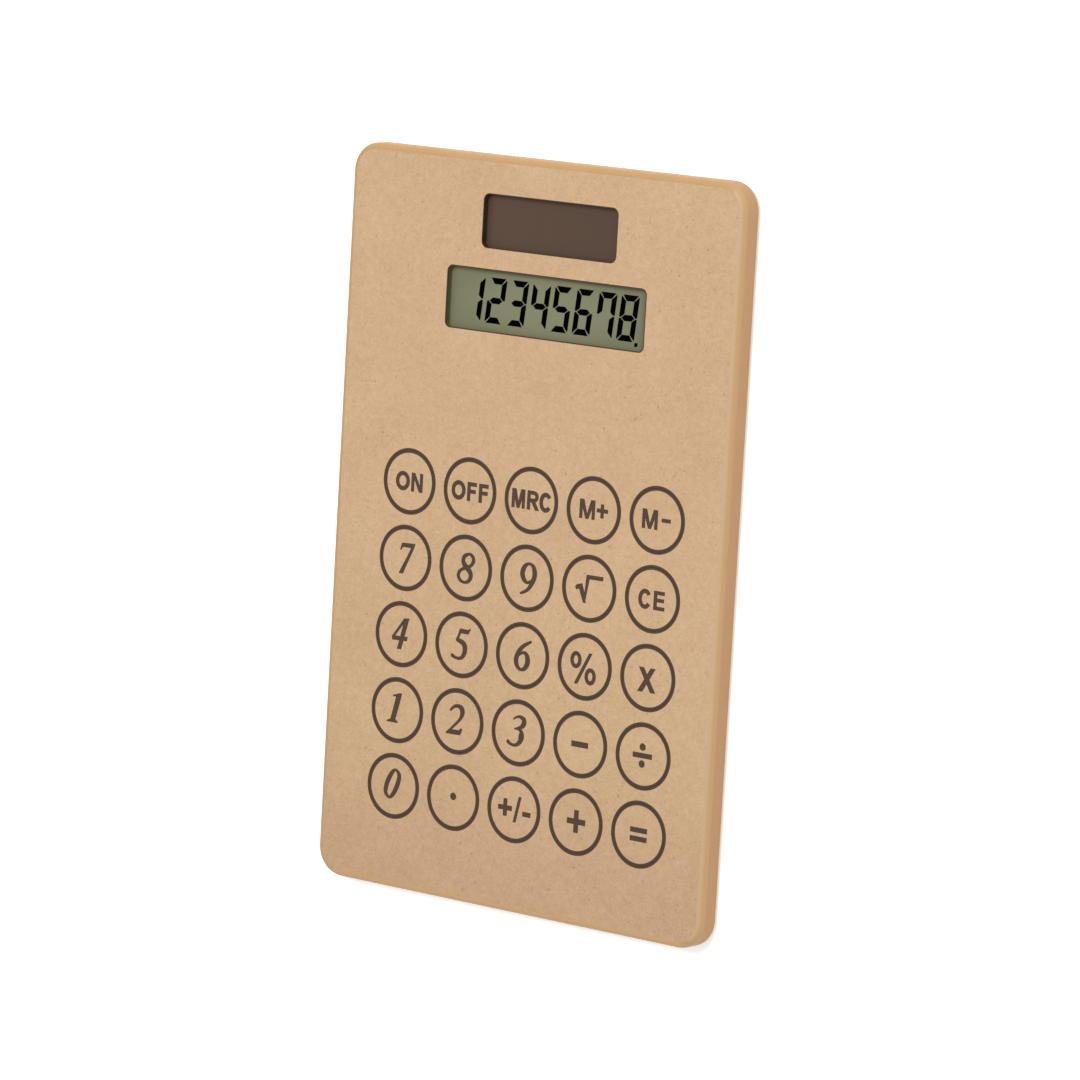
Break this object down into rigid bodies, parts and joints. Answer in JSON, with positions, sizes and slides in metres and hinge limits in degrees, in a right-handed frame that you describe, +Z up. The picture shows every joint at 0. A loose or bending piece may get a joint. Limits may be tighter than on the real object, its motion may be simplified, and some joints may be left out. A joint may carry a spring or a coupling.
{
  "type": "desk calculator",
  "caption": "Slim solar desk calculator with a kraft board face, round flush keys outlined by printed rings, a recessed display and a solar window.",
  "frame": {"origin": "on the desk under the middle of the case, at the height of the feet", "axes": "+X to the right across the keys, +Y towards the solar window end, +Z up out of the face"},
  "size_m": [0.11, 0.169, 0.006],
  "materials": {
    "case_tan": "smooth matt tan moulding",
    "kraft_board": "natural kraft board, fine fibres",
    "keypad_silicone": "soft grey silicone",
    "board_laminate": "glass-fibre laminate",
    "black_resin": "cured resin",
    "capacitor_body": "ceramic chip",
    "display_olive": "satin polarising film, olive grey",
    "display_glass": "clear glass",
    "reflector_film": "satin reflecting film",
    "black_foam": "black foam",
    "connector_rubber": "layered conductive rubber",
    "solar_brown": "dark brown coated glass",
    "lead_red": "insulated lead",
    "lead_black": "insulated lead",
    "cell_steel": "nickel-plated can",
    "contact_steel": "sprung strip",
    "screw_steel": "zinc-plated steel",
    "foot_rubber": "matt black rubber"
  },
  "bodies": {
    "case": {"front_case": "case_tan", "rear_cover": "case_tan", "battery_door": "case_tan", "kraft_face_sheet": "kraft_board", "rubber_keypad": "keypad_silicone", "circuit_board": "board_laminate", "chip_resin_blob": "black_resin", "board_capacitors": "capacitor_body", "board_resistors": "black_resin", "display_front_film": "display_olive", "display_front_glass": "display_glass", "display_rear_glass": "display_glass", "display_reflector_film": "reflector_film", "display_foam_pad": "black_foam", "display_gasket": "black_foam", "display_rubber_connector": "connector_rubber", "solar_cell": "solar_brown", "solar_tape_frame": "black_foam", "solar_lead_positive": "lead_red", "solar_lead_negative": "lead_black", "button_cell": "cell_steel", "battery_contact_negative": "contact_steel", "battery_contact_positive": "contact_steel", "case_screws": "screw_steel", "battery_door_screw": "screw_steel", "rubber_feet": "foot_rubber"},
    "key_on_press": {"key_on": "kraft_board"},
    "key_off_press": {"key_off": "kraft_board"},
    "key_mrc_press": {"key_mrc": "kraft_board"},
    "key_m_plus_press": {"key_m_plus": "kraft_board"},
    "key_m_minus_press": {"key_m_minus": "kraft_board"},
    "key_7_press": {"key_7": "kraft_board"},
    "key_8_press": {"key_8": "kraft_board"},
    "key_9_press": {"key_9": "kraft_board"},
    "key_square_root_press": {"key_square_root": "kraft_board"},
    "key_ce_press": {"key_ce": "kraft_board"},
    "key_4_press": {"key_4": "kraft_board"},
    "key_5_press": {"key_5": "kraft_board"},
    "key_6_press": {"key_6": "kraft_board"},
    "key_percent_press": {"key_percent": "kraft_board"},
    "key_multiply_press": {"key_multiply": "kraft_board"},
    "key_1_press": {"key_1": "kraft_board"},
    "key_2_press": {"key_2": "kraft_board"},
    "key_3_press": {"key_3": "kraft_board"},
    "key_minus_press": {"key_minus": "kraft_board"},
    "key_divide_press": {"key_divide": "kraft_board"},
    "key_0_press": {"key_0": "kraft_board"},
    "key_decimal_point_press": {"key_decimal_point": "kraft_board"},
    "key_sign_change_press": {"key_sign_change": "kraft_board"},
    "key_plus_press": {"key_plus": "kraft_board"},
    "key_equals_press": {"key_equals": "kraft_board"}
  },
  "joints": [
    {"name": "key_on_travel", "type": "slide", "parent": "case", "child": "key_on_press", "axis": [0, 0, -1], "range_m": [0, 0.0006], "stiffness_N_per_m": 500, "springref_m": -0.0004, "deforming": ["rubber_keypad"]},
    {"name": "key_off_travel", "type": "slide", "parent": "case", "child": "key_off_press", "axis": [0, 0, -1], "range_m": [0, 0.0006], "stiffness_N_per_m": 500, "springref_m": -0.0004, "deforming": ["rubber_keypad"]},
    {"name": "key_mrc_travel", "type": "slide", "parent": "case", "child": "key_mrc_press", "axis": [0, 0, -1], "range_m": [0, 0.0006], "stiffness_N_per_m": 500, "springref_m": -0.0004, "deforming": ["rubber_keypad"]},
    {"name": "key_m_plus_travel", "type": "slide", "parent": "case", "child": "key_m_plus_press", "axis": [0, 0, -1], "range_m": [0, 0.0006], "stiffness_N_per_m": 500, "springref_m": -0.0004, "deforming": ["rubber_keypad"]},
    {"name": "key_m_minus_travel", "type": "slide", "parent": "case", "child": "key_m_minus_press", "axis": [0, 0, -1], "range_m": [0, 0.0006], "stiffness_N_per_m": 500, "springref_m": -0.0004, "deforming": ["rubber_keypad"]},
    {"name": "key_7_travel", "type": "slide", "parent": "case", "child": "key_7_press", "axis": [0, 0, -1], "range_m": [0, 0.0006], "stiffness_N_per_m": 500, "springref_m": -0.0004, "deforming": ["rubber_keypad"]},
    {"name": "key_8_travel", "type": "slide", "parent": "case", "child": "key_8_press", "axis": [0, 0, -1], "range_m": [0, 0.0006], "stiffness_N_per_m": 500, "springref_m": -0.0004, "deforming": ["rubber_keypad"]},
    {"name": "key_9_travel", "type": "slide", "parent": "case", "child": "key_9_press", "axis": [0, 0, -1], "range_m": [0, 0.0006], "stiffness_N_per_m": 500, "springref_m": -0.0004, "deforming": ["rubber_keypad"]},
    {"name": "key_square_root_travel", "type": "slide", "parent": "case", "child": "key_square_root_press", "axis": [0, 0, -1], "range_m": [0, 0.0006], "stiffness_N_per_m": 500, "springref_m": -0.0004, "deforming": ["rubber_keypad"]},
    {"name": "key_ce_travel", "type": "slide", "parent": "case", "child": "key_ce_press", "axis": [0, 0, -1], "range_m": [0, 0.0006], "stiffness_N_per_m": 500, "springref_m": -0.0004, "deforming": ["rubber_keypad"]},
    {"name": "key_4_travel", "type": "slide", "parent": "case", "child": "key_4_press", "axis": [0, 0, -1], "range_m": [0, 0.0006], "stiffness_N_per_m": 500, "springref_m": -0.0004, "deforming": ["rubber_keypad"]},
    {"name": "key_5_travel", "type": "slide", "parent": "case", "child": "key_5_press", "axis": [0, 0, -1], "range_m": [0, 0.0006], "stiffness_N_per_m": 500, "springref_m": -0.0004, "deforming": ["rubber_keypad"]},
    {"name": "key_6_travel", "type": "slide", "parent": "case", "child": "key_6_press", "axis": [0, 0, -1], "range_m": [0, 0.0006], "stiffness_N_per_m": 500, "springref_m": -0.0004, "deforming": ["rubber_keypad"]},
    {"name": "key_percent_travel", "type": "slide", "parent": "case", "child": "key_percent_press", "axis": [0, 0, -1], "range_m": [0, 0.0006], "stiffness_N_per_m": 500, "springref_m": -0.0004, "deforming": ["rubber_keypad"]},
    {"name": "key_multiply_travel", "type": "slide", "parent": "case", "child": "key_multiply_press", "axis": [0, 0, -1], "range_m": [0, 0.0006], "stiffness_N_per_m": 500, "springref_m": -0.0004, "deforming": ["rubber_keypad"]},
    {"name": "key_1_travel", "type": "slide", "parent": "case", "child": "key_1_press", "axis": [0, 0, -1], "range_m": [0, 0.0006], "stiffness_N_per_m": 500, "springref_m": -0.0004, "deforming": ["rubber_keypad"]},
    {"name": "key_2_travel", "type": "slide", "parent": "case", "child": "key_2_press", "axis": [0, 0, -1], "range_m": [0, 0.0006], "stiffness_N_per_m": 500, "springref_m": -0.0004, "deforming": ["rubber_keypad"]},
    {"name": "key_3_travel", "type": "slide", "parent": "case", "child": "key_3_press", "axis": [0, 0, -1], "range_m": [0, 0.0006], "stiffness_N_per_m": 500, "springref_m": -0.0004, "deforming": ["rubber_keypad"]},
    {"name": "key_minus_travel", "type": "slide", "parent": "case", "child": "key_minus_press", "axis": [0, 0, -1], "range_m": [0, 0.0006], "stiffness_N_per_m": 500, "springref_m": -0.0004, "deforming": ["rubber_keypad"]},
    {"name": "key_divide_travel", "type": "slide", "parent": "case", "child": "key_divide_press", "axis": [0, 0, -1], "range_m": [0, 0.0006], "stiffness_N_per_m": 500, "springref_m": -0.0004, "deforming": ["rubber_keypad"]},
    {"name": "key_0_travel", "type": "slide", "parent": "case", "child": "key_0_press", "axis": [0, 0, -1], "range_m": [0, 0.0006], "stiffness_N_per_m": 500, "springref_m": -0.0004, "deforming": ["rubber_keypad"]},
    {"name": "key_decimal_point_travel", "type": "slide", "parent": "case", "child": "key_decimal_point_press", "axis": [0, 0, -1], "range_m": [0, 0.0006], "stiffness_N_per_m": 500, "springref_m": -0.0004, "deforming": ["rubber_keypad"]},
    {"name": "key_sign_change_travel", "type": "slide", "parent": "case", "child": "key_sign_change_press", "axis": [0, 0, -1], "range_m": [0, 0.0006], "stiffness_N_per_m": 500, "springref_m": -0.0004, "deforming": ["rubber_keypad"]},
    {"name": "key_plus_travel", "type": "slide", "parent": "case", "child": "key_plus_press", "axis": [0, 0, -1], "range_m": [0, 0.0006], "stiffness_N_per_m": 500, "springref_m": -0.0004, "deforming": ["rubber_keypad"]},
    {"name": "key_equals_travel", "type": "slide", "parent": "case", "child": "key_equals_press", "axis": [0, 0, -1], "range_m": [0, 0.0006], "stiffness_N_per_m": 500, "springref_m": -0.0004, "deforming": ["rubber_keypad"]}
  ]
}
